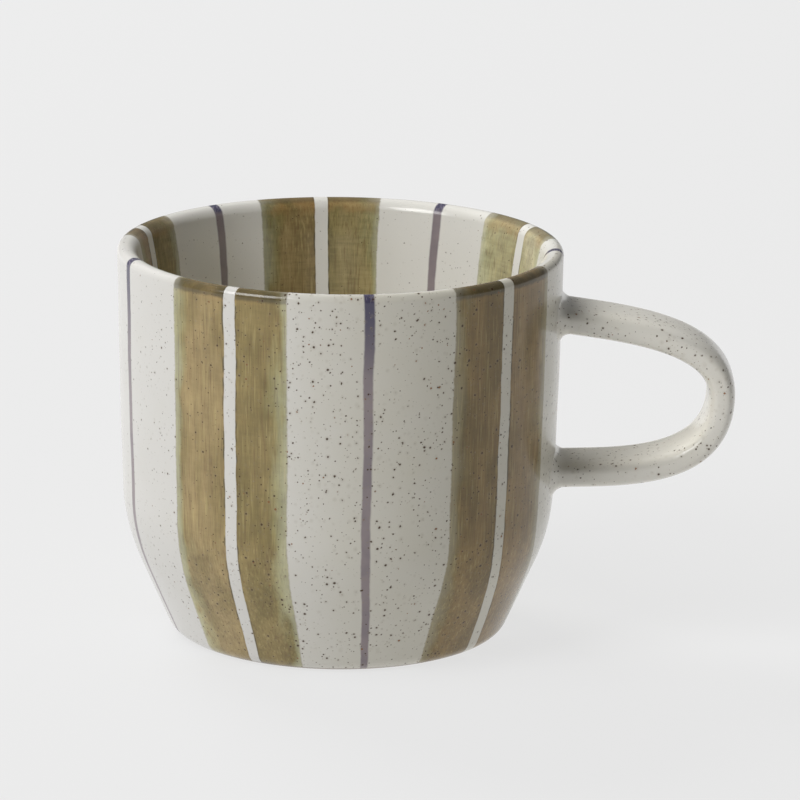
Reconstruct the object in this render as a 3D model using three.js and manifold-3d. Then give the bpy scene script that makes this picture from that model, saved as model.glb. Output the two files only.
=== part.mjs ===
// A glazed stoneware mug: a cup with an upright wall and a tapered base, a strap handle on its +X side,
// the two luted joints that hold the handle, and the bare-clay ring that the mug stands on.
// Millimetres, +Z up. The origin is on the table, under the middle of the mug's whole length.
import * as THREE from "three";
import { mergeVertices } from "three/addons/utils/BufferGeometryUtils.js";
import Module from "manifold-3d";

const wasm = await Module();
wasm.setup();

const radians = THREE.MathUtils.degToRad;

// Driving dimensions
const height = 80;
const rimRadius = 45; // outside, where the lip meets the wall
const lipOuterRounding = 1.5;
const lipInnerRounding = 2.6;
const floorHeight = 7; // inside floor above the table
const joint = 0.3; // clear gap left between neighbouring pieces

// A side of the cup is an upper line and a lower line joined by a knee, ending in a rounded corner.
// Slopes are measured from vertical, and bow is how far the upper line bulges out at its middle.
const outside = {
  topRadius: rimRadius,
  topHeight: height - lipOuterRounding,
  slope: radians(1.42),
  bow: 0.11,
  kneeHeight: 22.84,
  kneeRadius: 39.5,
  taper: radians(23.6),
  cornerHeight: 0,
  cornerRadius: 4.34,
};
const inside = {
  topRadius: 38.95,
  topHeight: 60,
  slope: radians(1.6),
  bow: 0,
  kneeHeight: 24.2,
  kneeRadius: 34,
  taper: radians(23.6),
  cornerHeight: floorHeight,
  cornerRadius: 10,
};
const flareSlope = radians(12.4); // the inside wall leans out this far by the time it meets the lip

// Foot
const glazeLine = 0.5; // the glaze is wiped back to this height
const recessHeight = 2.3; // underside of the floor
const skirtRadius = 32.2; // inside of the glazed skirt that the foot ring sits in
const footInnerRadius = 27.3;
const footInnerRounding = 1.2;

// Handle: a strap of constant section. Its centreline runs from the upper root, out to its reach
// and back to the lower root. A pull is how far a Bezier handle draws the line along its tangent.
const strapWidth = 16.5;
const strapThickness = 5.6;
const strapSquareness = 3.5; // exponent of the superellipse section
const upperRoot = { x: 45.8, z: 66, dip: radians(8), pull: 11 };
const reach = { x: 77.45, z: 50.4, pullUp: 12.2, pullDown: 16.6 };
const lowerRoot = { x: 45.8, z: 33.9, dip: radians(-2), pull: 12.3 };
const rootDepth = 4; // how far the strap runs on into the wall before it is trimmed to it

// Luted joints: a pad of slip under each end of the strap, squeezed out round it as a fillet
const slipFillet = 3;
const slipReach = 1.7; // where the fillet has thinned out to nothing, measured from the wall
const strapStart = 1.5; // end of the strap, measured from the wall

// Facets
const turnSegments = 72;
const arcDivisions = 3;
const footDivisions = 2;
const strapSteps = 30;
const strapSides = 20;
const filletSegments = 5;

// A closed geometry as a manifold-3d solid.
function solidOf(geometry) {
  geometry.deleteAttribute("normal");
  geometry.deleteAttribute("uv");
  const merged = mergeVertices(geometry, 1e-3);
  const vertProperties = merged.attributes.position.array;
  const triVerts = new Uint32Array(merged.index.array);
  return new wasm.Manifold(new wasm.Mesh({ numProp: 3, vertProperties, triVerts }));
}

function geometryOf(solid) {
  const { vertProperties, triVerts } = solid.getMesh();
  const geometry = new THREE.BufferGeometry();
  geometry.setAttribute("position", new THREE.BufferAttribute(vertProperties, 3));
  geometry.setIndex(new THREE.BufferAttribute(triVerts, 1));
  geometry.computeVertexNormals();
  return geometry;
}

// A closed outline of (radius, height) points turned about the Z axis.
function turned(points) {
  return solidOf(new THREE.LatheGeometry(points, turnSegments).rotateX(Math.PI / 2));
}

// Where a side's lines and arcs meet, worked out from its slopes and radii.
function sideLayout(side) {
  const kneeX = side.topRadius - Math.tan(side.slope) * (side.topHeight - side.kneeHeight);
  const kneeTangent = side.kneeRadius * Math.tan((side.taper - side.slope) / 2);
  const upX = kneeX + kneeTangent * Math.sin(side.slope);
  const upZ = side.kneeHeight + kneeTangent * Math.cos(side.slope);
  const cornerRise = side.cornerRadius * (1 - Math.sin(side.taper));
  const taperLength = (side.kneeHeight - side.cornerHeight - cornerRise) / Math.cos(side.taper);
  return {
    upX,
    upZ,
    kneeCentreX: upX - side.kneeRadius * Math.cos(side.slope),
    kneeCentreZ: upZ + side.kneeRadius * Math.sin(side.slope),
    cornerX: kneeX - taperLength * Math.sin(side.taper) - side.cornerRadius * Math.cos(side.taper),
    cornerZ: side.cornerHeight + side.cornerRadius,
  };
}

// The side's outline from its corner up to its top, starting at startAngle on the corner's arc.
function sideOutline(side, startAngle) {
  const at = sideLayout(side);
  const path = new THREE.Path();
  path.absarc(at.cornerX, at.cornerZ, side.cornerRadius, startAngle, -side.taper);
  path.absarc(at.kneeCentreX, at.kneeCentreZ, side.kneeRadius, -side.taper, -side.slope);
  const bowX = (at.upX + side.topRadius) / 2 + 2 * side.bow;
  const bowZ = (at.upZ + side.topHeight) / 2;
  path.quadraticCurveTo(bowX, bowZ, side.topRadius, side.topHeight);
  return path.getPoints(arcDivisions);
}

function lipOutline() {
  const topX = rimRadius - lipOuterRounding;
  const path = new THREE.Path();
  path.absarc(topX, height - lipOuterRounding, lipOuterRounding, 0, Math.PI / 2);
  path.absarc(topX, height - lipInnerRounding, lipInnerRounding, Math.PI / 2, Math.PI - flareSlope);
  return path.getPoints(arcDivisions);
}

// The inside wall's last stretch, curving outwards from its upright part to the end of the lip.
function flareOutline(lipEnd) {
  const wallLean = Math.tan(inside.slope);
  const flareLean = Math.tan(flareSlope);
  const run = lipEnd.x - inside.topRadius;
  const rise = lipEnd.y - inside.topHeight;
  const bendRise = (flareLean * rise - run) / (flareLean - wallLean);
  const path = new THREE.Path();
  path.moveTo(inside.topRadius, inside.topHeight);
  path.quadraticCurveTo(
    inside.topRadius + wallLean * bendRise,
    inside.topHeight + bendRise,
    lipEnd.x,
    lipEnd.y,
  );
  return path.getPoints(arcDivisions);
}

// The angle on the outside corner's arc at a given height.
function footAngle(z) {
  return Math.asin((z - outside.cornerRadius) / outside.cornerRadius);
}

function cupBody() {
  const outer = sideOutline(outside, footAngle(glazeLine));
  const lip = lipOutline();
  const flare = flareOutline(lip.at(-1)).reverse();
  const inner = sideOutline(inside, -Math.PI / 2).reverse();
  return turned([
    new THREE.Vector2(0, recessHeight),
    new THREE.Vector2(skirtRadius, recessHeight),
    new THREE.Vector2(skirtRadius, glazeLine),
    ...outer,
    ...lip.slice(1),
    ...flare.slice(1),
    ...inner.slice(1),
    new THREE.Vector2(0, floorHeight),
  ]);
}

// The foot carries on the cup's rounded corner down to the flat ring that touches the table.
function footRing() {
  const outerRadius = skirtRadius - joint;
  const top = recessHeight - joint;
  const { cornerX } = sideLayout(outside);
  const outerAngle = -Math.acos((outerRadius - cornerX) / outside.cornerRadius);
  const path = new THREE.Path();
  const innerCentre = footInnerRadius + footInnerRounding;
  path.absarc(innerCentre, footInnerRounding, footInnerRounding, Math.PI, 1.5 * Math.PI);
  path.absarc(cornerX, outside.cornerRadius, outside.cornerRadius, -Math.PI / 2, outerAngle);
  path.lineTo(outerRadius, top);
  path.lineTo(footInnerRadius, top);
  path.closePath();
  return turned(path.getPoints(footDivisions));
}

// Everything closer to the axis than the outside wall plus a distance, at the handle's heights.
function insideOfWall(distance) {
  const wall = sideOutline(outside, footAngle(glazeLine));
  const grown = wall.map((point) => new THREE.Vector2(point.x + distance, point.y));
  const top = new THREE.Vector2(0, grown.at(-1).y);
  return turned([new THREE.Vector2(0, grown[0].y), ...grown, top]);
}

// The strap's section, width along x and thickness along y, grown by a margin.
function strapSection(margin) {
  const points = [];
  for (let i = 0; i < strapSides; i++) {
    const angle = (2 * Math.PI * i) / strapSides;
    const across = Math.abs(Math.cos(angle)) ** (2 / strapSquareness) * Math.sign(Math.cos(angle));
    const along = Math.abs(Math.sin(angle)) ** (2 / strapSquareness) * Math.sign(Math.sin(angle));
    const x = across * (strapWidth / 2 + margin);
    const y = along * (strapThickness / 2 + margin);
    points.push(new THREE.Vector2(x, y));
  }
  return new THREE.Shape(points);
}

// A point of the handle's plane.
function at(x, z) {
  return new THREE.Vector3(x, 0, z);
}

// The handle's centreline, with a straight run into the wall at each end.
function strapCentreline() {
  const upper = at(upperRoot.x, upperRoot.z);
  const upperWay = at(Math.cos(upperRoot.dip), -Math.sin(upperRoot.dip));
  const lower = at(lowerRoot.x, lowerRoot.z);
  const lowerWay = at(Math.cos(lowerRoot.dip), -Math.sin(lowerRoot.dip));
  const turn = at(reach.x, reach.z);
  const upperInner = upper.clone().addScaledVector(upperWay, -rootDepth);
  const lowerInner = lower.clone().addScaledVector(lowerWay, -rootDepth);
  const upperPulled = upper.clone().addScaledVector(upperWay, upperRoot.pull);
  const lowerPulled = lower.clone().addScaledVector(lowerWay, lowerRoot.pull);
  const above = at(reach.x, reach.z + reach.pullUp);
  const below = at(reach.x, reach.z - reach.pullDown);
  const path = new THREE.CurvePath();
  path.add(new THREE.LineCurve3(upperInner, upper));
  path.add(new THREE.CubicBezierCurve3(upper, upperPulled, above, turn));
  path.add(new THREE.CubicBezierCurve3(turn, below, lowerPulled, lower));
  path.add(new THREE.LineCurve3(lower, lowerInner));
  return path;
}

function strapSolid(margin) {
  const options = { steps: strapSteps, extrudePath: strapCentreline() };
  return solidOf(new THREE.ExtrudeGeometry(strapSection(margin), options));
}

function handle() {
  return strapSolid(0).subtract(insideOfWall(strapStart));
}

// The slip under one end of the strap. It is the strap's section flared out as a hollow fillet,
// bent round the wall, sheared to the strap's dip, and kept between the wall and its own reach.
function slipJoint(root) {
  const belowTop = outside.topHeight - root.z;
  const wallRadius = rimRadius - belowTop * Math.tan(outside.slope);
  const run = slipFillet + slipReach;
  const flared = new THREE.ExtrudeGeometry(strapSection(0), {
    depth: run,
    bevelThickness: slipFillet,
    bevelSize: -slipFillet,
    bevelOffset: slipFillet,
    bevelSegments: filletSegments,
  });
  flared.translate(0, 0, slipFillet).rotateZ(Math.PI / 2).rotateY(Math.PI / 2);
  const position = flared.getAttribute("position");
  for (let i = 0; i < position.count; i++) {
    const sag = wallRadius - Math.sqrt(wallRadius ** 2 - position.getY(i) ** 2);
    position.setX(i, position.getX(i) - sag);
  }
  const dip = -Math.tan(root.dip);
  const lean = Math.tan(outside.slope);
  const shear = new THREE.Matrix4().makeShear(0, dip, 0, 0, lean, 0);
  flared.applyMatrix4(shear).translate(wallRadius, 0, root.z);
  return solidOf(flared)
    .intersect(insideOfWall(slipReach))
    .subtract(insideOfWall(joint))
    .subtract(strapSolid(joint).subtract(insideOfWall(strapStart - joint)));
}

const glaze = new THREE.MeshStandardMaterial({ color: 0xc8c4b8, roughness: 0.35, metalness: 0 });
const bareClay = new THREE.MeshStandardMaterial({ color: 0x9a7f62, roughness: 0.85, metalness: 0 });

const mug = new THREE.Group();

function addPiece(name, solid, material) {
  const mesh = new THREE.Mesh(geometryOf(solid), material.clone());
  mesh.name = name;
  mug.add(mesh);
}

addPiece("cup_body", cupBody(), glaze);
addPiece("foot_ring", footRing(), bareClay);
addPiece("handle", handle(), glaze);
addPiece("slip_joint_upper", slipJoint(upperRoot), glaze);
addPiece("slip_joint_lower", slipJoint(lowerRoot), glaze);

// The cup's axis stands behind the origin by half of what the handle adds to the length.
const farthest = reach.x + strapThickness / 2;
mug.position.x = -(farthest - rimRadius) / 2;

export default mug;
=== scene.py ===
"""A glazed stoneware mug on a pale floor: fine meshes for the cup, handle, luted joints and foot ring
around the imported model, with a speckled cream glaze and brushed olive and violet stripes.
Metres, +Z up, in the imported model's frame."""
import math

import bpy
from mathutils import Matrix, Vector


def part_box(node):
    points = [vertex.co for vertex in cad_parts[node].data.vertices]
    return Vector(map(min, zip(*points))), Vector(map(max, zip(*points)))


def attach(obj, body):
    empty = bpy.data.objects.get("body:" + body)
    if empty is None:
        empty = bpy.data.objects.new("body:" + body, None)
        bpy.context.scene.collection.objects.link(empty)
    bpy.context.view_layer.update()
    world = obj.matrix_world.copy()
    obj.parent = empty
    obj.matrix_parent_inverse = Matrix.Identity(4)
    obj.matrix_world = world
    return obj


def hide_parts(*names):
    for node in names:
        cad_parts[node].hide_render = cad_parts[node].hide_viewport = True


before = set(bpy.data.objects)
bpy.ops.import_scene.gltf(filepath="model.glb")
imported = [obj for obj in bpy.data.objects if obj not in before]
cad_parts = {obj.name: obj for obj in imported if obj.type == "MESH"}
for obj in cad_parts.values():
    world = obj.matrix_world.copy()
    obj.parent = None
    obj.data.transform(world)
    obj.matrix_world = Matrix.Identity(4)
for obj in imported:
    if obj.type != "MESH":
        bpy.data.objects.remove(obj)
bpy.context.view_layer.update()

MM = 0.001
MM_PER_METRE = 1000

# ---------------------------------------------------------------------------------------------
# Driving dimensions
# ---------------------------------------------------------------------------------------------
cup_low, cup_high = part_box("cup_body")

AXIS_X = (cup_low.x + cup_high.x) / 2
HEIGHT = cup_high.z
RIM_RADIUS = 45 * MM
LIP_OUTER = 1.5 * MM
LIP_INNER = 2.6 * MM
FLOOR_HEIGHT = 7 * MM

# A side of the cup: an upper line and a taper joined by a knee, ending in a rounded corner.
OUTSIDE = {
    "top_radius": RIM_RADIUS,
    "top_height": HEIGHT - LIP_OUTER,
    "slope": math.radians(1.42),
    "bow": 0.11 * MM,
    "knee_height": 22.84 * MM,
    "knee_radius": 39.5 * MM,
    "taper": math.radians(23.6),
    "corner_height": 0.0,
    "corner_radius": 4.34 * MM,
}
INSIDE = {
    "top_radius": 38.95 * MM,
    "top_height": 60 * MM,
    "slope": math.radians(1.6),
    "bow": 0.0,
    "knee_height": 24.2 * MM,
    "knee_radius": 34 * MM,
    "taper": math.radians(23.6),
    "corner_height": FLOOR_HEIGHT,
    "corner_radius": 10 * MM,
}
FLARE_SLOPE = math.radians(12.4)    # how far the inside wall leans out where it meets the lip

# The potter's unevenness: an oval, three lobes that twist with height, and throwing ripples. The
# twist and the pitch are the heights in which the lobes and the ripples go through one radian.
OVAL_SWING = 0.10 * MM
OVAL_PHASE = 0.6
LOBE_SWING = 0.05 * MM
LOBE_PHASE = 2.1
LOBE_TWIST = 40 * MM
RIPPLE_SWING = 0.03 * MM
RIPPLE_PITCH = 2.6 * MM
UNEVEN_FROM = 20 * MM               # the unevenness fades out below this height

# Foot
GLAZE_LINE = 0.4 * MM
RECESS_HEIGHT = 2.3 * MM
SKIRT_RADIUS = 32.2 * MM
RING_OUTER = 32.3 * MM
RING_INNER = 27.3 * MM
RING_ROUNDING = 1.2 * MM
RING_TOP = 2.4 * MM

# Handle: a strap with a superellipse section. A pull is how far a Bezier handle draws its tangent.
STRAP_WIDTH = 16.5 * MM
STRAP_THICKNESS = 5.6 * MM
STRAP_SQUARENESS = 3.5
UPPER_ROOT = {"x": 45.8 * MM, "z": 66 * MM, "dip": math.radians(8), "pull": 11 * MM}
LOWER_ROOT = {"x": 45.8 * MM, "z": 33.9 * MM, "dip": math.radians(-2), "pull": 12.3 * MM}
REACH = {"x": 77.45 * MM, "z": 50.4 * MM, "pull_up": 12.2 * MM, "pull_down": 16.6 * MM}
ROOT_DEPTH = 3 * MM

# The slip's fillet: its hollow face, how far its edges lie under the surfaces that they meet, and
# its hidden back, which reaches a little way into the strap and the wall.
FILLET_RADIUS = 2.6 * MM
FILLET_SINK = 0.015 * MM
FILLET_DEPTH = 0.6 * MM
FILLET_BACK = 0.9 * FILLET_RADIUS

# Mesh fineness
TURN_SEGMENTS = 288
ARC_STEP = math.radians(2.5)
LINE_STEP = 1.2 * MM
FLARE_STEPS = 16
FLOOR_RINGS = 12
STRAP_STEPS = 60
STRAP_SIDES = 96
FILLET_STEPS = 12


# ---------------------------------------------------------------------------------------------
# Outlines
# ---------------------------------------------------------------------------------------------
def arc(centre_x, centre_z, radius, start, end):
    """Points on an arc, both ends included."""
    count = max(2, math.ceil(abs(end - start) / ARC_STEP))
    angles = [start + (end - start) * i / count for i in range(count + 1)]
    return [(centre_x + radius * math.cos(a), centre_z + radius * math.sin(a)) for a in angles]


def bowed_line(start, end, bow):
    """Points between two ends, bulging outwards by bow at the middle, both ends left out."""
    length = math.dist(start, end)
    count = max(2, math.ceil(length / LINE_STEP))
    points = []
    for i in range(1, count):
        t = i / count
        bulge = 4 * bow * t * (1 - t)
        x = start[0] + (end[0] - start[0]) * t + bulge
        z = start[1] + (end[1] - start[1]) * t
        points.append((x, z))
    return points


def side_outline(side, start_angle):
    """A side of the cup from its corner up to the lip, starting at an angle on the corner's arc."""
    top_height = side["top_height"]
    slope, taper = side["slope"], side["taper"]
    knee_radius, corner_radius = side["knee_radius"], side["corner_radius"]
    knee_x = side["top_radius"] - math.tan(slope) * (top_height - side["knee_height"])
    tangent = knee_radius * math.tan((taper - slope) / 2)
    up_x = knee_x + tangent * math.sin(slope)
    up_z = side["knee_height"] + tangent * math.cos(slope)
    corner_rise = corner_radius * (1 - math.sin(taper))
    run = (side["knee_height"] - side["corner_height"] - corner_rise) / math.cos(taper)
    corner_x = knee_x - run * math.sin(taper) - corner_radius * math.cos(taper)
    corner_z = side["corner_height"] + corner_radius
    knee_centre_x = up_x - knee_radius * math.cos(slope)
    knee_centre_z = up_z + knee_radius * math.sin(slope)
    corner = arc(corner_x, corner_z, corner_radius, start_angle, -taper)
    knee = arc(knee_centre_x, knee_centre_z, knee_radius, -taper, -slope)
    top = (side["top_radius"], top_height)
    outline = corner + bowed_line(corner[-1], knee[0], 0) + knee
    return outline + bowed_line(knee[-1], top, side["bow"]) + [top]


def lip_outline():
    """The rounded lip, from the top of the outside wall over to where the flare starts."""
    top_x = RIM_RADIUS - LIP_OUTER
    outer = arc(top_x, HEIGHT - LIP_OUTER, LIP_OUTER, 0, math.pi / 2)
    inner = arc(top_x, HEIGHT - LIP_INNER, LIP_INNER, math.pi / 2, math.pi - FLARE_SLOPE)
    return outer[1:] + inner[1:]


def flare_outline(lip_end):
    """The inside wall curving out from its upright part to the lip, both ends left out."""
    start = (INSIDE["top_radius"], INSIDE["top_height"])
    wall_lean, flare_lean = math.tan(INSIDE["slope"]), math.tan(FLARE_SLOPE)
    run, rise = lip_end[0] - start[0], lip_end[1] - start[1]
    bend_rise = (flare_lean * rise - run) / (flare_lean - wall_lean)
    bend = (start[0] + wall_lean * bend_rise, start[1] + bend_rise)
    points = []
    for i in range(1, FLARE_STEPS):
        t = i / FLARE_STEPS
        weights = ((1 - t) ** 2, 2 * t * (1 - t), t * t)
        x, z = (sum(w * p[k] for w, p in zip(weights, (start, bend, lip_end))) for k in (0, 1))
        points.append((x, z))
    return points


def outer_radius(z):
    """The outside wall's radius at a height, on the upper wall or the knee."""
    outline = side_outline(OUTSIDE, -math.pi / 2)
    for low, high in zip(outline, outline[1:]):
        if low[1] <= z <= high[1]:
            return low[0] + (high[0] - low[0]) * (z - low[1]) / (high[1] - low[1])
    return outline[-1][0]


# ---------------------------------------------------------------------------------------------
# Meshes
# ---------------------------------------------------------------------------------------------
def new_object(name, vertices, faces):
    """A smooth-shaded mesh object in the scene."""
    mesh = bpy.data.meshes.new(name)
    mesh.from_pydata(vertices, [], faces)
    mesh.update()
    mesh.polygons.foreach_set("use_smooth", [True] * len(mesh.polygons))
    piece = bpy.data.objects.new(name, mesh)
    bpy.context.scene.collection.objects.link(piece)
    return piece


def hand_shift(radius, z, angle):
    """How far the potter's hand left the turned surface from true, outwards in metres."""
    share = min(1.0, z / UNEVEN_FROM) * radius / RIM_RADIUS
    oval = OVAL_SWING * math.cos(2 * angle + OVAL_PHASE)
    lobes = LOBE_SWING * math.cos(3 * angle + LOBE_PHASE + z / LOBE_TWIST)
    ripple = RIPPLE_SWING * math.sin(z / RIPPLE_PITCH + angle)
    return share * (oval + lobes + ripple)


def turn(name, outline, closed, shift=None):
    """Turns an outline about the cup's axis. An open outline starts and ends on the axis."""
    rings = outline if closed else outline[1:-1]
    vertices = []
    for radius, z in rings:
        for i in range(TURN_SEGMENTS):
            angle = 2 * math.pi * i / TURN_SEGMENTS
            r = radius + (shift(radius, z, angle) if shift else 0)
            vertices.append((AXIS_X + r * math.cos(angle), r * math.sin(angle), z))
    faces = []
    pairs = len(rings) if closed else len(rings) - 1
    for k in range(pairs):
        base, above = k * TURN_SEGMENTS, (k + 1) % len(rings) * TURN_SEGMENTS
        for i in range(TURN_SEGMENTS):
            j = (i + 1) % TURN_SEGMENTS
            faces.append((base + i, base + j, above + j, above + i))
    if not closed:
        start, end = len(vertices), len(vertices) + 1
        vertices.append((AXIS_X, 0, outline[0][1]))
        vertices.append((AXIS_X, 0, outline[-1][1]))
        last = (len(rings) - 1) * TURN_SEGMENTS
        for i in range(TURN_SEGMENTS):
            j = (i + 1) % TURN_SEGMENTS
            faces.append((start, j, i))
            faces.append((end, last + i, last + j))
    return new_object(name, vertices, faces)


def foot_angle(z):
    """The angle on the outside corner's arc at a height."""
    radius = OUTSIDE["corner_radius"]
    return math.asin((z - radius) / radius)


def spread(start, end, count):
    """Points on a straight line between two ends, both ends left out."""
    steps = [i / count for i in range(1, count)]
    return [(start[0] + (end[0] - start[0]) * t, start[1] + (end[1] - start[1]) * t) for t in steps]


def make_cup():
    """The glazed cup: one outline from the middle of its underside round to the middle of its floor."""
    outer = side_outline(OUTSIDE, foot_angle(GLAZE_LINE))
    lip = lip_outline()
    flare = flare_outline(lip[-1])[::-1]
    inner = side_outline(INSIDE, -math.pi / 2)[::-1]
    under_centre, under_edge = (0, RECESS_HEIGHT), (SKIRT_RADIUS, RECESS_HEIGHT)
    floor_centre = (0, FLOOR_HEIGHT)
    underside = [under_centre] + spread(under_centre, under_edge, FLOOR_RINGS) + [under_edge]
    floor = spread(inner[-1], floor_centre, FLOOR_RINGS) + [floor_centre]
    skirt = [(SKIRT_RADIUS, GLAZE_LINE)]
    outline = underside + skirt + outer + lip + flare + inner + floor
    return turn("glazed_cup", outline, closed=False, shift=hand_shift)


def make_foot_ring():
    """The bare ring that the mug stands on, its outer face on the cup's rounded foot corner."""
    radius = OUTSIDE["corner_radius"]
    corner_x = side_outline(OUTSIDE, -math.pi / 2)[0][0]
    outer_end = -math.acos((RING_OUTER - corner_x) / radius)
    inner = arc(RING_INNER + RING_ROUNDING, RING_ROUNDING, RING_ROUNDING, math.pi, 1.5 * math.pi)
    outer = arc(corner_x, radius, radius, -math.pi / 2, outer_end)
    top = [(RING_OUTER, RING_TOP), (RING_INNER, RING_TOP)]
    return turn("bare_foot_ring", inner + outer + top, closed=True)


# ---------------------------------------------------------------------------------------------
# Handle and its joints
# ---------------------------------------------------------------------------------------------
def bezier(a, b, c, d, count):
    """Points on a cubic Bezier curve, its last end left out."""
    points = []
    for i in range(count):
        t = i / count
        s = 1 - t
        points.append(a * s**3 + b * 3 * s * s * t + c * 3 * s * t * t + d * t**3)
    return points


def root_way(root):
    """The strap's direction away from the cup at a root."""
    return Vector((math.cos(root["dip"]), 0, -math.sin(root["dip"])))


def root_point(root):
    """Where the strap's middle line meets the cup at a root."""
    return Vector((AXIS_X + root["x"], 0, root["z"]))


def strap_centreline():
    """The strap's middle line, from inside the upper root round the loop to inside the lower root."""
    upper, lower = root_point(UPPER_ROOT), root_point(LOWER_ROOT)
    turn_point = Vector((AXIS_X + REACH["x"], 0, REACH["z"]))
    above = turn_point + Vector((0, 0, REACH["pull_up"]))
    below = turn_point - Vector((0, 0, REACH["pull_down"]))
    upper_pulled = upper + root_way(UPPER_ROOT) * UPPER_ROOT["pull"]
    lower_pulled = lower + root_way(LOWER_ROOT) * LOWER_ROOT["pull"]
    path = [upper - root_way(UPPER_ROOT) * ROOT_DEPTH]
    path += bezier(upper, upper_pulled, above, turn_point, STRAP_STEPS)
    path += bezier(turn_point, below, lower_pulled, lower, STRAP_STEPS)
    path += [lower, lower - root_way(LOWER_ROOT) * ROOT_DEPTH]
    return path


def strap_section():
    """(across the thickness, along the width, normal) around the strap, as a superellipse."""
    points = []
    for i in range(STRAP_SIDES):
        angle = 2 * math.pi * i / STRAP_SIDES
        c, s = math.cos(angle), math.sin(angle)
        t = math.copysign(abs(c) ** (2 / STRAP_SQUARENESS), c) * STRAP_THICKNESS / 2
        w = math.copysign(abs(s) ** (2 / STRAP_SQUARENESS), s) * STRAP_WIDTH / 2
        points.append((t, w))
    return points


def section_normal(t, w):
    """The superellipse's outward normal at a point of it, in (thickness, width)."""
    power = STRAP_SQUARENESS - 1
    a, b = STRAP_THICKNESS / 2, STRAP_WIDTH / 2
    n = Vector((math.copysign(abs(t / a) ** power / a, t), math.copysign(abs(w / b) ** power / b, w)))
    return n.normalized()


def make_handle():
    """The strap swept along its middle line, with flat ends hidden in the joints."""
    path = strap_centreline()
    section = strap_section()
    vertices = []
    for i, centre in enumerate(path):
        way = (path[min(i + 1, len(path) - 1)] - path[max(i - 1, 0)]).normalized()
        outward = Vector((-way.z, 0, way.x))
        for t, w in section:
            vertices.append(centre + outward * t + Vector((0, w, 0)))
    faces = []
    for k in range(len(path) - 1):
        for i in range(STRAP_SIDES):
            j = (i + 1) % STRAP_SIDES
            base, beyond = k * STRAP_SIDES, (k + 1) * STRAP_SIDES
            faces.append((base + i, beyond + i, beyond + j, base + j))
    last = (len(path) - 1) * STRAP_SIDES
    faces.append(tuple(range(STRAP_SIDES)))
    faces.append(tuple(last + i for i in reversed(range(STRAP_SIDES))))
    return new_object("strap_handle", vertices, faces)


def make_slip_joint(name, root):
    """The slip squeezed out round a strap end: a hollow fillet, tangent to the strap and the wall."""
    profile = []
    for i in range(FILLET_STEPS + 1):
        angle = math.pi / 2 * i / FILLET_STEPS
        out = FILLET_RADIUS * (1 - math.cos(angle)) - FILLET_SINK
        off = FILLET_RADIUS * (1 - math.sin(angle)) - FILLET_SINK
        profile.append((out, off))
    profile.append((FILLET_BACK, -FILLET_DEPTH))
    profile.append((-FILLET_DEPTH, -FILLET_DEPTH))
    profile.append((-FILLET_DEPTH, FILLET_BACK))
    vertices = []
    for t, w in strap_section():
        normal = section_normal(t, w)
        for out, off in profile:
            y = w + normal.y * out
            rise = t + normal.x * out
            wall_x = math.sqrt(outer_radius(root["z"] + rise) ** 2 - y * y)
            x = wall_x + off
            z = root["z"] + rise - math.tan(root["dip"]) * (x - root["x"])
            vertices.append((AXIS_X + x, y, z))
    faces = []
    count = len(profile)
    for i in range(STRAP_SIDES):
        j = (i + 1) % STRAP_SIDES
        for k in range(count):
            m = (k + 1) % count
            faces.append((i * count + k, i * count + m, j * count + m, j * count + k))
    return new_object(name, vertices, faces)


# ---------------------------------------------------------------------------------------------
# Material graphs
# ---------------------------------------------------------------------------------------------
class Graph:
    """Short calls for building a material's node graph."""

    def __init__(self, name):
        self.material = bpy.data.materials.new(name)
        self.material.use_nodes = True
        self.nodes = self.material.node_tree.nodes
        self.links = self.material.node_tree.links
        self.shader = self.nodes["Principled BSDF"]

    def put(self, socket, value):
        """Links a socket to another, or sets it to a plain value."""
        if isinstance(value, bpy.types.NodeSocket):
            self.links.new(value, socket)
        elif value is not None:
            socket.default_value = value

    def math(self, operation, a, b=None, c=None, clamp=False):
        """One step of arithmetic."""
        node = self.nodes.new("ShaderNodeMath")
        node.operation = operation
        node.use_clamp = clamp
        for socket, value in zip(node.inputs, (a, b, c)):
            self.put(socket, value)
        return node.outputs[0]

    def vector(self, operation, a, b):
        """One step of arithmetic on vectors."""
        node = self.nodes.new("ShaderNodeVectorMath")
        node.operation = operation
        self.put(node.inputs[0], a)
        self.put(node.inputs[1], b)
        return node.outputs[0]

    def ramp(self, value, start, end, low=0.0, high=1.0):
        """A smooth step from low at start to high at end."""
        node = self.nodes.new("ShaderNodeMapRange")
        node.interpolation_type = "SMOOTHSTEP"
        for socket, item in zip(node.inputs, (value, start, end, low, high)):
            self.put(socket, item)
        return node.outputs[0]

    def mix(self, factor, a, b, blend="MIX"):
        """A blend of two colours, which a Mix node takes at inputs 6 and 7 and gives at output 2."""
        node = self.nodes.new("ShaderNodeMix")
        node.data_type = "RGBA"
        node.blend_type = blend
        self.put(node.inputs[0], factor)
        self.put(node.inputs[6], a)
        self.put(node.inputs[7], b)
        return node.outputs[2]

    def noise(self, vector, scale, detail, roughness=0.5):
        """Cloudy noise between 0 and 1, about a half on average."""
        node = self.nodes.new("ShaderNodeTexNoise")
        self.put(node.inputs["Vector"], vector)
        node.inputs["Scale"].default_value = scale
        node.inputs["Detail"].default_value = detail
        node.inputs["Roughness"].default_value = roughness
        return node.outputs["Fac"]

    def voronoi(self, vector, scale):
        """The distance to the nearest of many scattered points, and that point's random colour."""
        node = self.nodes.new("ShaderNodeTexVoronoi")
        self.put(node.inputs["Vector"], vector)
        node.inputs["Scale"].default_value = scale
        return node.outputs["Distance"], node.outputs["Color"]

    def bump(self, height, distance, strength, normal=None):
        """The surface's normal tilted by a height, on top of any earlier bump."""
        node = self.nodes.new("ShaderNodeBump")
        node.inputs["Strength"].default_value = strength
        node.inputs["Distance"].default_value = distance
        self.put(node.inputs["Height"], height)
        self.put(node.inputs["Normal"], normal)
        return node.outputs["Normal"]


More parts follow.
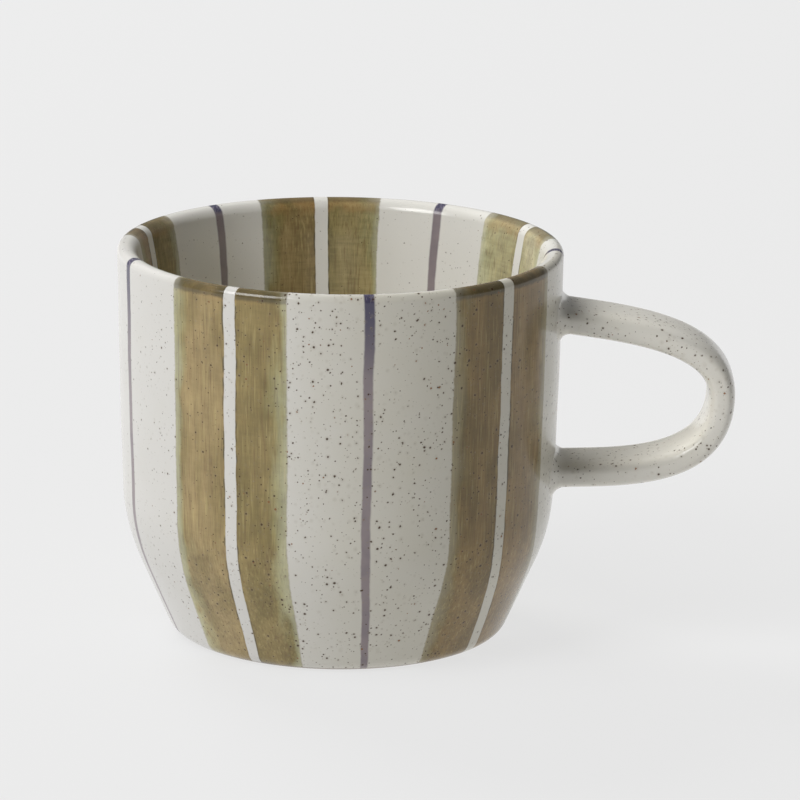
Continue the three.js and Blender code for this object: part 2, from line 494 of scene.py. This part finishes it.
def colour(red, green, blue):
    """An sRGB colour, 0 to 255, as a linear RGBA value."""
    def linear(v):
        v /= 255
        return v / 12.92 if v <= 0.04045 else ((v + 0.055) / 1.055) ** 2.4
    return (linear(red), linear(green), linear(blue), 1.0)


# Clay, glaze and paint.
CREAM = colour(212, 210, 205)
# The warm cream of the glaze's clouds, which is also painted shade on the darker side away from the key
# light.
CREAM_WARM_AND_SHADED = colour(202, 198, 184)
# The inside's cream is painted light: the same glaze, made lighter than outside.
CREAM_INSIDE_LIT = colour(223, 221, 214)
GREEN_WASH = colour(166, 168, 116)
RUST = colour(164, 120, 72)
DARK_OLIVE = colour(80, 73, 52)
STREAK_PALE = colour(188, 172, 118)
STREAK_BROWN = colour(112, 86, 58)
VIOLET = colour(136, 124, 127)
VIOLET_DEEP = colour(56, 52, 82)
VIOLET_PALE = colour(176, 168, 182)
SPECK = colour(62, 39, 14)
SPECK_RUST = colour(128, 84, 44)
SPECK_FAINT = colour(142, 130, 108)
FOOT_EDGE = colour(92, 76, 56)
BARE_CLAY = colour(150, 122, 92)
BARE_CLAY_PALE = colour(176, 150, 120)

HANDLE_PAINTED_LIGHT = 1.17          # painted light: how much brighter the handle's glaze is made than the cup's same glaze
GLAZE_IOR = 1.5
GLAZE_ROUGHNESS = (0.15, 0.22)
CLAY_ROUGHNESS = 0.85

# Each pair of brush strokes: outer edge, gap from, gap to, outer edge, in degrees round the cup
# with the handle at 90; the angle that stays put and the share that the rest spreads by the foot;
# and three colours, for the two strokes and for the thinner paint along their outer edges.
STROKE_PAIRS = [
    {
        "edges": (-46.3, -30.0, -26.7, -12.9), "pivot": -29.6, "spread": 1.09,
        "paints": (colour(157, 137, 95), colour(140, 123, 78), colour(170, 168, 122)),
    },
    {
        "edges": (30.8, 46.3, 49.9, 67.0), "pivot": 34.0, "spread": 1.32,
        "paints": (colour(134, 111, 67), colour(139, 115, 75), colour(130, 119, 74)),
    },
    {
        "edges": (99.5, 114.4, 118.3, 134.3), "pivot": 116.9, "spread": 1.09,
        "paints": (colour(190, 182, 148), colour(174, 167, 130), colour(186, 186, 146)),
    },
    {
        "edges": (169.6, 184.4, 188.2, 204.5), "pivot": 187.0, "spread": 1.09,
        "paints": (colour(152, 138, 97), colour(140, 122, 82), colour(146, 146, 98)),
    },
    {
        "edges": (237.2, 250.0, 253.5, 262.0), "pivot": 249.6, "spread": 1.09,
        "paints": (colour(146, 132, 94), colour(150, 130, 98), colour(148, 146, 102)),
    },
]
# Each thin line: its angle, and how far it has leaned round by the foot.
LINES = [(7.95, 1.8), (87.0, 0.0), (151.5, 0.0), (218.5, 0.0), (290.4, 0.0)]

# Angles round the cup, in degrees.
LINE_TOP_HALF = 1.35        # half a thin line's width at the rim
LINE_LOW_HALF = 1.18        # and low on the wall
DRIFT = 1.2                 # how far the painted edges stray over a long way
WOBBLE = 0.45               # and over a short way
FRAY = 0.55                 # and where single bristles end
STROKE_SOFT = 0.35
GAP_SOFT = 0.14
BEAD_WIDTH = 0.42           # the beads of dark paint along a gap
BEAD_SOFT = 0.16
LINE_SOFT = 0.3
PAINT_SOFT = 0.1            # the change from a pair's first colour to its second, in its gap
PAINT_REACH = (3.0, 2.0)    # a pair's colours give way to the next pair's this far past its edge
FRINGE = (2.2, 8.5)         # the width of the thinner paint along a stroke's outer edge
SHADED_AND_SPECKLED_SIDE = 42.0        # the cream is painted warmer and darker as shade round this angle, and is most speckled there

# Heights above the table in millimetres, from where a look sets in to where it is complete.
SPLAY_SPAN = (28.0, 2.0)
LEAN_SPAN = (26.0, 0.0)
WIDEN_SPAN = (48.0, 78.0)
DEEP_SPAN_OUTSIDE = (60.0, 78.0)
DEEP_SPAN_INSIDE = (78.3, 79.3)
WORN_SPAN = (78.4, 79.2)
DARK_RIM_SPAN = (79.0, 79.7)
FOOT_EDGE_SPAN = (1.0, 0.5)

# Ragged lines: a height, how far it strays upwards, and how softly the look sets in above it.
STROKE_END = {"height": 8.0, "stray": 7.0, "soft": 2.6}
RUST_LINE = {"height": 75.6, "stray": 1.8, "soft": 1.6}
LIP_LINE = {"height": 77.4, "stray": 0.5, "soft": 0.7}

# Kinds of speck: how far apart their balls are and the largest ball's radius, in millimetres.
FAINT_SPECKS = {"spacing": 0.95, "radius": 0.2, "opacity": 0.5}
SMALL_SPECKS = {"spacing": 1.05, "radius": 0.225, "opacity": 0.92}
LARGE_SPECKS = {"spacing": 1.45, "radius": 0.32, "opacity": 0.95}
SMALLEST_SPECK = 0.35       # as a share of the largest
SPECK_STIR = 0.3            # how far the balls are pushed out of round, in millimetres
SPECK_EDGE = (1.12, 0.6)    # a dot fades in between these shares of its radius
HALO_REACH = 2.6            # and its halo starts at this one
HALO_OPACITY = 0.16
RUSTY_FROM = (0.9, 0.94)    # a dot is rusty where its random value is past these

INSIDE_SOFT = 0.25          # half the change from outside to inside, in the wall, in millimetres

# How a noise is squeezed along X, Y and Z. A small share draws it out along that axis.
DOWN_THE_STROKE = (1.0, 1.0, 0.045)
ACROSS_THE_STROKE = (0.12, 0.12, 1.0)
TALL_BLEED = (1.0, 1.0, 0.3)
TALL_PATCHES = (1.0, 1.0, 0.4)
SCRATCHES = (1.0, 0.15, 0.15)

# Bumps in metres.
SWELL_HEIGHT = 0.00012
PEEL_HEIGHT = 0.00002
PAINT_HEIGHT = 0.00003
CLAY_GRAIN_HEIGHT = 0.00008


# ---------------------------------------------------------------------------------------------
# Shared parts of the materials
# ---------------------------------------------------------------------------------------------
def sum_of(graph, values):
    """The sum of two or more values."""
    total = values[0]
    for value in values[1:]:
        total = graph.math("ADD", total, value)
    return total


def times(graph, *values):
    """The product of two or more values."""
    product = values[0]
    for value in values[1:]:
        product = graph.math("MULTIPLY", product, value)
    return product


def swing(graph, value, width):
    """A value between 0 and 1 as a swing of this width, half of it either way."""
    return graph.math("MULTIPLY_ADD", value, width, -width / 2)


def band(graph, across, low, high, soft):
    """1 between two angles, with a soft step at each."""
    rise = graph.ramp(across, low - soft, low + soft)
    fall = graph.ramp(across, high + soft, high - soft)
    return graph.math("MULTIPLY", rise, fall)


def above_ragged(graph, noise, z, line):
    """1 above a ragged line round the cup, and 0 below it."""
    start = graph.math("MULTIPLY_ADD", noise, line["stray"], line["height"])
    return graph.ramp(graph.math("SUBTRACT", z, start), 0.0, line["soft"])


def cup_space(graph):
    """Place in millimetres from the middle of the cup's foot, then its height, its angle round the
    cup's axis in degrees and its distance from that axis."""
    coordinates = graph.nodes.new("ShaderNodeTexCoord").outputs["Object"]
    centred = graph.vector("SUBTRACT", coordinates, (AXIS_X, 0, 0))
    place = graph.vector("MULTIPLY", centred, (MM_PER_METRE, MM_PER_METRE, MM_PER_METRE))
    split = graph.nodes.new("ShaderNodeSeparateXYZ")
    graph.put(split.inputs[0], place)
    x, y, z = split.outputs
    turned = graph.math("ARCTAN2", x, graph.math("MULTIPLY", y, -1.0))
    squares = graph.math("ADD", graph.math("MULTIPLY", x, x), graph.math("MULTIPLY", y, y))
    return place, z, graph.math("DEGREES", turned), graph.math("SQRT", squares)


def inside_mask(graph, z, radius):
    """1 on the cup's inside and underside, 0 on its outside, split inside the wall."""
    slope = math.tan(OUTSIDE["slope"])
    taper = math.tan(OUTSIDE["taper"])
    into_wall = LIP_OUTER / MM
    top = RIM_RADIUS / MM - into_wall
    knee = OUTSIDE["knee_height"] / MM
    knee_radius = top - slope * (HEIGHT / MM - into_wall - knee)
    upper = graph.math("MULTIPLY_ADD", z, slope, top - slope * (HEIGHT / MM - into_wall))
    lower = graph.math("MULTIPLY_ADD", z, taper, knee_radius - taper * knee)
    middle = graph.math("MINIMUM", upper, lower)
    depth = graph.math("SUBTRACT", middle, radius)
    return graph.ramp(depth, -INSIDE_SOFT, INSIDE_SOFT)


def specks(graph, place, kind, amount):
    """Masks of one kind of speck, its dots and their halos, and a random value for each dot. Each
    dot is the part of a small ball that the surface cuts."""
    distance, random = graph.voronoi(place, 1 / kind["spacing"])
    split = graph.nodes.new("ShaderNodeSeparateColor")
    graph.put(split.inputs[0], random)
    size = graph.math("MULTIPLY_ADD", split.outputs[0], 1 - SMALLEST_SPECK, SMALLEST_SPECK)
    reach = times(graph, size, amount, kind["radius"] / kind["spacing"])
    edge_from, edge_to = (graph.math("MULTIPLY", reach, share) for share in SPECK_EDGE)
    dot = graph.ramp(distance, edge_from, edge_to)
    halo = graph.ramp(distance, graph.math("MULTIPLY", reach, HALO_REACH), reach)
    return dot, halo, split.outputs[2]


def add_specks(graph, place, base, amount):
    """Iron specks over a glaze colour: dark ones, smaller ones and faint ones sunk in the glaze."""
    stir = graph.noise(place, scale=2.2, detail=1.0)
    shift = graph.vector("MULTIPLY", stir, (SPECK_STIR, SPECK_STIR, SPECK_STIR))
    bent = graph.vector("ADD", place, shift)
    crowding = graph.noise(place, scale=0.11, detail=2.0)
    clusters = graph.ramp(crowding, 0.30, 0.55, low=0.62, high=1.0)
    strength = graph.math("MULTIPLY", clusters, amount)
    faint, _, _ = specks(graph, bent, FAINT_SPECKS, strength)
    base = graph.mix(graph.math("MULTIPLY", faint, FAINT_SPECKS["opacity"]), base, SPECK_FAINT)
    small, _, small_hue = specks(graph, bent, SMALL_SPECKS, strength)
    large, halo, large_hue = specks(graph, bent, LARGE_SPECKS, strength)
    base = graph.mix(graph.math("MULTIPLY", halo, HALO_OPACITY), base, SPECK_FAINT)
    for dot, hue, kind in ((small, small_hue, SMALL_SPECKS), (large, large_hue, LARGE_SPECKS)):
        tint = graph.mix(graph.ramp(hue, *RUSTY_FROM), SPECK, SPECK_RUST)
        base = graph.mix(graph.math("MULTIPLY", dot, kind["opacity"]), base, tint)
    return base


def cream_base(graph, place, shade_warmth):
    """The plain glaze, from cool to warm, with a faint cloudiness. The turn to warm is painted shade.
    """
    cloud = swing(graph, graph.noise(place, scale=0.12, detail=3.0), 0.5)
    return graph.mix(graph.math("ADD", shade_warmth, cloud, clamp=True), CREAM, CREAM_WARM_AND_SHADED)


def glaze_roughness(graph, place):
    """Glossy glaze, a little duller in patches."""
    patches = graph.noise(place, scale=0.4, detail=2.0)
    return graph.ramp(patches, 0.2, 0.8, *GLAZE_ROUGHNESS)


def finish_glaze(graph, place, base, relief, roughness):
    """Sets a glaze's shader, with a slow swell, a fine orange peel and the paint's thickness."""
    peel = graph.noise(place, scale=0.9, detail=2.0)
    swell = graph.noise(place, scale=0.11, detail=1.0)
    normal = graph.bump(swell, SWELL_HEIGHT, strength=0.5)
    normal = graph.bump(peel, PEEL_HEIGHT, strength=0.35, normal=normal)
    if relief is not None:
        normal = graph.bump(relief, PAINT_HEIGHT, strength=0.5, normal=normal)
    graph.put(graph.shader.inputs["Base Color"], base)
    graph.put(graph.shader.inputs["Roughness"], roughness)
    graph.put(graph.shader.inputs["Normal"], normal)
    graph.shader.inputs["IOR"].default_value = GLAZE_IOR
    return graph.material


# ---------------------------------------------------------------------------------------------
# The painted stripes
# ---------------------------------------------------------------------------------------------
def paint_wander(graph, place):
    """How far the painted edges stray, in degrees: smoothly, and in fine frays."""
    slow = swing(graph, graph.noise(place, scale=0.05, detail=1.0), DRIFT)
    quick = swing(graph, graph.noise(place, scale=0.35, detail=2.0), WOBBLE)
    fray = swing(graph, graph.noise(place, scale=1.6, detail=3.0, roughness=0.6), FRAY)
    return graph.math("ADD", slow, quick), fray


def stroke_pair(graph, pair, z, wavy, fray, fringe):
    """One pair of strokes: the masks of its paint, of the thinner paint along its outer edges and
    of the beads along its gap; where its colours hold; and the colours of its paint and thin paint."""
    first_paint, second_paint, thin_paint = pair["paints"]
    middle = (pair["edges"][0] + pair["edges"][3]) / 2
    low, gap_low, gap_high, high = (edge - middle for edge in pair["edges"])
    gap_middle = (gap_low + gap_high) / 2
    from_pivot = graph.math("WRAP", graph.math("SUBTRACT", wavy, pair["pivot"]), 180.0, -180.0)
    splay = graph.ramp(z, *SPLAY_SPAN, low=1.0, high=pair["spread"])
    across = graph.math("ADD", graph.math("DIVIDE", from_pivot, splay), pair["pivot"] - middle)
    frayed = graph.math("ADD", across, fray)
    body = band(graph, frayed, low, high, STROKE_SOFT)
    gap = band(graph, across, gap_low, gap_high, GAP_SOFT)
    stroke = graph.math("SUBTRACT", body, gap, clamp=True)
    from_low = graph.math("DIVIDE", graph.math("SUBTRACT", frayed, low), fringe)
    from_high = graph.math("DIVIDE", graph.math("SUBTRACT", high, frayed), fringe)
    edge = graph.ramp(graph.math("MINIMUM", from_low, from_high), 1.0, 0.0)
    thin = graph.math("MULTIPLY", edge, stroke)
    along_gap = band(graph, across, gap_low - BEAD_WIDTH, gap_high + BEAD_WIDTH, BEAD_SOFT)
    beads = graph.math("SUBTRACT", along_gap, gap, clamp=True)
    second = graph.ramp(across, gap_middle - PAINT_SOFT, gap_middle + PAINT_SOFT)
    paint = graph.mix(second, first_paint, second_paint)
    reach_from, reach_to = (high + reach for reach in PAINT_REACH)
    near = graph.ramp(graph.math("ABSOLUTE", across), reach_from, reach_to)
    return (stroke, thin, beads), near, (paint, thin_paint)


def stroke_pairs(graph, place, z, wavy, fray):
    """The masks of every stroke, thin edge and bead, and the colours of the paint and thin paint."""
    bleed = graph.noise(graph.vector("MULTIPLY", place, TALL_BLEED), scale=0.25, detail=2.0)
    fringe = graph.ramp(bleed, 0.3, 0.68, *FRINGE)
    pairs = [stroke_pair(graph, pair, z, wavy, fray, fringe) for pair in STROKE_PAIRS]
    _, _, (paint, thin_paint) = pairs[0]
    for _, near, (next_paint, next_thin_paint) in pairs[1:]:
        paint = graph.mix(near, paint, next_paint)
        thin_paint = graph.mix(near, thin_paint, next_thin_paint)
    masks = [sum_of(graph, group) for group in zip(*(pair[0] for pair in pairs))]
    return masks, (paint, thin_paint)


def thin_lines(graph, z, wavy):
    """The mask of the thin violet lines, which are a little wider at the rim."""
    half = graph.ramp(z, *WIDEN_SPAN, low=LINE_LOW_HALF, high=LINE_TOP_HALF)
    lines = []
    for middle, foot_lean in LINES:
        centre = graph.ramp(z, *LEAN_SPAN, low=middle, high=middle + foot_lean)
        across = graph.math("WRAP", graph.math("SUBTRACT", wavy, centre), 180.0, -180.0)
        off = graph.math("SUBTRACT", graph.math("ABSOLUTE", across), half)
        lines.append(graph.ramp(off, LINE_SOFT, -LINE_SOFT))
    return sum_of(graph, lines)


def brushed(graph, place, paint, inside):
    """The stroke colour with brush streaks, cross fibres, cloudy patches and greener patches."""
    along = graph.vector("MULTIPLY", place, DOWN_THE_STROKE)
    fine = graph.noise(along, scale=3.4, detail=4.0, roughness=0.65)
    broad = graph.noise(along, scale=0.5, detail=2.0)
    fibres = graph.vector("MULTIPLY", place, ACROSS_THE_STROKE)
    cross = graph.noise(fibres, scale=1.5, detail=4.0, roughness=0.6)
    cloud = graph.noise(place, scale=0.22, detail=3.0, roughness=0.6)
    cross_depth = graph.ramp(inside, 0.0, 1.0, low=0.26, high=0.62)
    tone = sum_of(graph, [
        swing(graph, fine, 0.62),
        swing(graph, broad, 0.45),
        swing(graph, cloud, 0.6),
        times(graph, graph.math("SUBTRACT", cross, 0.5), cross_depth),
    ])
    shade = graph.nodes.new("ShaderNodeVectorMath")
    shade.operation = "SCALE"
    graph.put(shade.inputs[0], paint)
    graph.put(shade.inputs["Scale"], graph.math("ADD", tone, 1.0))
    streaks = graph.noise(along, scale=2.3, detail=3.0, roughness=0.6)
    pale = graph.ramp(streaks, 0.53, 0.7, low=0.0, high=0.4)
    painted = graph.mix(pale, shade.outputs[0], STREAK_PALE)
    brown = graph.ramp(streaks, 0.47, 0.32, low=0.0, high=0.42)
    painted = graph.mix(brown, painted, STREAK_BROWN)
    patches = graph.noise(graph.vector("MULTIPLY", place, TALL_PATCHES), scale=0.15, detail=2.0)
    green = graph.ramp(patches, 0.44, 0.64, low=0.0, high=0.34)
    return graph.mix(green, painted, GREEN_WASH, "MULTIPLY")


def rim_tints(graph, place, z, inside, outside, painted):
    """The strokes near the rim: rusty where the glaze ran thin, dark and glassy over the lip."""
    patch = graph.ramp(graph.noise(place, scale=0.22, detail=2.0), 0.3, 0.62)
    depth = graph.ramp(inside, 0.0, 1.0, low=0.22, high=0.55)
    rust = graph.mix(0.55, painted, RUST)
    above_rust = above_ragged(graph, graph.noise(place, scale=0.6, detail=1.0), z, RUST_LINE)
    painted = graph.mix(times(graph, above_rust, patch, depth), painted, rust)
    glassy = graph.ramp(graph.noise(place, scale=0.3, detail=1.0), 0.3, 0.6, low=0.6, high=0.85)
    on_lip = above_ragged(graph, graph.noise(place, scale=0.8, detail=1.0), z, LIP_LINE)
    painted = graph.mix(times(graph, on_lip, glassy, outside), painted, DARK_OLIVE)
    dark_rim = graph.ramp(z, *DARK_RIM_SPAN, low=0.0, high=0.55)
    return graph.mix(times(graph, dark_rim, inside), painted, DARK_OLIVE)


def violet_paint(graph, place, z, inside, outside):
    """The thin lines' colour: deep where the brush started at the rim, washed out below."""
    wash = graph.ramp(graph.noise(place, scale=0.2, detail=2.0), 0.35, 0.7, low=0.0, high=0.2)
    violet = graph.mix(wash, VIOLET, VIOLET_DEEP)
    deep_outside = graph.math("MULTIPLY", graph.ramp(z, *DEEP_SPAN_OUTSIDE), outside)
    deep_inside = graph.math("MULTIPLY", graph.ramp(z, *DEEP_SPAN_INSIDE), inside)
    violet = graph.mix(graph.math("ADD", deep_outside, deep_inside), violet, VIOLET_DEEP)
    scratch = graph.noise(graph.vector("MULTIPLY", place, SCRATCHES), scale=4.0, detail=2.0)
    scratched = graph.ramp(scratch, 0.5, 0.7, low=0.0, high=0.5)
    return graph.mix(times(graph, graph.ramp(z, *WORN_SPAN), scratched), violet, VIOLET_PALE)


# ---------------------------------------------------------------------------------------------
# Materials
# ---------------------------------------------------------------------------------------------
def painted_glaze():
    """The cup's glaze: speckled cream, striped inside and out, with a darker foot edge."""
    graph = Graph("painted_glaze")
    place, z, angle, radius = cup_space(graph)
    inside = inside_mask(graph, z, radius)
    outside = graph.math("SUBTRACT", 1.0, inside)
    wander, fray = paint_wander(graph, place)
    wavy = graph.math("ADD", angle, wander)
    (stroke, thin, beads), (paint, thin_paint) = stroke_pairs(graph, place, z, wavy, fray)
    line = thin_lines(graph, z, wavy)

    paint = graph.mix(graph.math("MULTIPLY", thin, 0.9, clamp=True), paint, thin_paint)
    painted = brushed(graph, place, paint, inside)
    bead_patches = graph.noise(place, scale=0.3, detail=3.0)
    bead_opacity = graph.ramp(bead_patches, 0.42, 0.62, low=0.05, high=0.9)
    painted = graph.mix(times(graph, beads, bead_opacity), painted, DARK_OLIVE)
    painted = rim_tints(graph, place, z, inside, outside, painted)
    violet = violet_paint(graph, place, z, inside, outside)

    # Painted shade: the cream turns warmer and darker round one side of the cup, away from the key
    # light.
    from_front = graph.math("RADIANS", graph.math("SUBTRACT", angle, SHADED_AND_SPECKLED_SIDE))
    front = graph.math("COSINE", from_front)
    shade_warmth = graph.ramp(front, 0.25, 1.1)
    # Painted light: the inside gets a lighter copy of the cream.
    base = graph.mix(inside, cream_base(graph, place, shade_warmth), CREAM_INSIDE_LIT)
    above_end = above_ragged(graph, graph.noise(place, scale=0.9, detail=3.0), z, STROKE_END)
    drawn = graph.math("MAXIMUM", outside, above_end)
    opacity = graph.math("MULTIPLY_ADD", times(graph, thin, thin, thin), -0.25, 1.0)
    base = graph.mix(times(graph, stroke, drawn, opacity), base, painted)
    base = graph.mix(times(graph, line, drawn, 0.95), base, violet)
    front_specks = graph.ramp(front, -0.5, 0.8, low=0.62, high=1.0)
    inside_specks = graph.ramp(inside, 0.0, 1.0, low=1.0, high=0.75)
    base = add_specks(graph, place, base, times(graph, front_specks, inside_specks))
    foot = times(graph, graph.ramp(z, *FOOT_EDGE_SPAN, low=0.0, high=0.75), outside)
    base = graph.mix(foot, base, FOOT_EDGE)

    relief = graph.math("ADD", stroke, line)
    return finish_glaze(graph, place, base, relief, glaze_roughness(graph, place))


def handle_glaze():
    """The speckled glaze of the handle and its joints: the cup's cream with half its warm painted
    shade, brightened all over as painted light.
    """
    graph = Graph("cream_glaze")
    place, _, _, _ = cup_space(graph)
    base = add_specks(graph, place, cream_base(graph, place, 0.5), 1.0)
    # Painted light: the handle and its joints are made brighter than the cup's glaze.
    base = graph.mix(1.0, base, (HANDLE_PAINTED_LIGHT, HANDLE_PAINTED_LIGHT, HANDLE_PAINTED_LIGHT, 1), "MULTIPLY")
    return finish_glaze(graph, place, base, None, glaze_roughness(graph, place))


def bare_clay():
    """Dull grainy stoneware, speckled like the glaze."""
    graph = Graph("bare_clay")
    place, _, _, _ = cup_space(graph)
    grain = graph.noise(place, scale=2.2, detail=4.0, roughness=0.7)
    base = graph.mix(grain, BARE_CLAY, BARE_CLAY_PALE)
    base = add_specks(graph, place, base, 1.0)
    graph.put(graph.shader.inputs["Base Color"], base)
    graph.shader.inputs["Roughness"].default_value = CLAY_ROUGHNESS
    graph.put(graph.shader.inputs["Normal"], graph.bump(grain, CLAY_GRAIN_HEIGHT, strength=0.6))
    return graph.material


# ---------------------------------------------------------------------------------------------
# Studio
# ---------------------------------------------------------------------------------------------
FLOOR_HALF = 6.0
FLOOR_GAP = 0.02 * MM       # keeps the floor clear of the foot ring's face
FLOOR_TONE = 0.1
FLOOR_GLOW = 0.715
BACKGROUND = 0.83           # the backdrop as the camera sees it

# The room's light on the mug, dim on the camera's side and bright behind, and the share of a
# direction along Y over which it changes.
ROOM_NEAR = 0.02
ROOM_FAR = 0.22
ROOM_CHANGE = (-0.3, 0.5)

# Square soft lights: azimuth and elevation in degrees, watts, and whether the glaze mirrors the
# light. Azimuth 0 is the camera's side and positive is to the camera's right.
LIGHT_DISTANCE = 2.0
LIGHT_SIZE = 0.9
LIGHTS = [
    {"name": "key", "azimuth": -50, "elevation": 38, "power": 24, "mirrored": True},
    {"name": "back_left", "azimuth": -150, "elevation": 38, "power": 28, "mirrored": False},
    {"name": "high", "azimuth": -60, "elevation": 65, "power": 13, "mirrored": False},
    {"name": "low_right", "azimuth": 150, "elevation": 12, "power": 3, "mirrored": False},
]

# The camera: the point it looks at, where it stands, and its long lens and sensor in millimetres.
LOOK_AT = (AXIS_X + 12.32 * MM, 0, 47.65 * MM)
CAMERA_DISTANCE = 1.2
CAMERA_ELEVATION = math.radians(14.616)
CAMERA_ROLL = math.radians(0.707)
LENS = 265.6476
SENSOR = 36.0
CLIP_START = 0.05


def make_floor():
    """A wide pale floor that glows a little, so that it stays as light as the backdrop."""
    low, high, z = -FLOOR_HALF, FLOOR_HALF, -FLOOR_GAP
    corners = [(low, low, z), (high, low, z), (high, high, z), (low, high, z)]
    floor = new_object("floor", corners, [(0, 1, 2, 3)])
    graph = Graph("pale_floor")
    graph.shader.inputs["Base Color"].default_value = (FLOOR_TONE, FLOOR_TONE, FLOOR_TONE, 1)
    graph.shader.inputs["Roughness"].default_value = 1.0
    graph.shader.inputs["Specular IOR Level"].default_value = 0.0
    graph.shader.inputs["Emission Color"].default_value = (1, 1, 1, 1)
    graph.shader.inputs["Emission Strength"].default_value = FLOOR_GLOW
    floor.data.materials.append(graph.material)


def make_world():
    """A bright backdrop behind the mug and a dimmer room in front, seen by the camera as plain."""
    world = bpy.data.worlds.new("studio")
    bpy.context.scene.world = world
    world.use_nodes = True
    nodes, links = world.node_tree.nodes, world.node_tree.links
    room = nodes["Background"]
    room.inputs["Color"].default_value = (1, 1, 1, 1)
    plain = nodes.new("ShaderNodeBackground")
    plain.inputs["Color"].default_value = (BACKGROUND, BACKGROUND, BACKGROUND, 1)
    coordinates = nodes.new("ShaderNodeTexCoord")
    split = nodes.new("ShaderNodeSeparateXYZ")
    links.new(coordinates.outputs["Generated"], split.inputs[0])
    depth = nodes.new("ShaderNodeMapRange")
    depth.interpolation_type = "SMOOTHSTEP"
    depth.inputs["From Min"].default_value = ROOM_CHANGE[0]
    depth.inputs["From Max"].default_value = ROOM_CHANGE[1]
    depth.inputs["To Min"].default_value = ROOM_NEAR
    depth.inputs["To Max"].default_value = ROOM_FAR
    links.new(split.outputs["Y"], depth.inputs["Value"])
    links.new(depth.outputs["Result"], room.inputs["Strength"])
    path = nodes.new("ShaderNodeLightPath")
    mix = nodes.new("ShaderNodeMixShader")
    links.new(path.outputs["Is Camera Ray"], mix.inputs[0])
    links.new(room.outputs[0], mix.inputs[1])
    links.new(plain.outputs[0], mix.inputs[2])
    links.new(mix.outputs[0], nodes["World Output"].inputs["Surface"])


def make_light(name, azimuth, elevation, power, mirrored):
    """A square soft light aimed at the middle of the mug."""
    target = Vector((AXIS_X, 0, HEIGHT / 2))
    a, e = math.radians(azimuth), math.radians(elevation)
    away = Vector((math.sin(a) * math.cos(e), -math.cos(a) * math.cos(e), math.sin(e)))
    lamp = bpy.data.lights.new(name, "AREA")
    lamp.size = LIGHT_SIZE
    lamp.energy = power
    light = bpy.data.objects.new(name, lamp)
    light.visible_glossy = mirrored
    light.location = target + away * LIGHT_DISTANCE
    light.rotation_euler = away.to_track_quat("Z", "Y").to_euler()
    bpy.context.scene.collection.objects.link(light)


def make_camera():
    """A long lens a little above the rim, looking square at the mug with its handle to the right."""
    away = Vector((0, -math.cos(CAMERA_ELEVATION), math.sin(CAMERA_ELEVATION)))
    data = bpy.data.cameras.new("camera")
    data.sensor_width = SENSOR
    data.lens = LENS
    data.clip_start = CLIP_START
    camera = bpy.data.objects.new("camera", data)
    camera.location = Vector(LOOK_AT) + away * CAMERA_DISTANCE
    facing = away.to_track_quat("Z", "Y").to_matrix().to_4x4()
    camera.rotation_euler = (facing @ Matrix.Rotation(CAMERA_ROLL, 4, "Z")).to_euler()
    bpy.context.scene.collection.objects.link(camera)
    bpy.context.scene.camera = camera


# ---------------------------------------------------------------------------------------------
# The mug in its studio
# ---------------------------------------------------------------------------------------------
def add_piece(piece, material, node):
    """Gives a piece its material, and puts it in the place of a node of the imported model."""
    piece.data.materials.append(material)
    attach(piece, "root")
    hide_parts(node)


cream = handle_glaze()
add_piece(make_cup(), painted_glaze(), "cup_body")
add_piece(make_foot_ring(), bare_clay(), "foot_ring")
add_piece(make_handle(), cream, "handle")
add_piece(make_slip_joint("upper_slip_fillet", UPPER_ROOT), cream, "slip_joint_upper")
add_piece(make_slip_joint("lower_slip_fillet", LOWER_ROOT), cream, "slip_joint_lower")

make_floor()
make_world()
for light in LIGHTS:
    make_light(**light)
make_camera()
bpy.context.scene.view_settings.view_transform = "Standard"
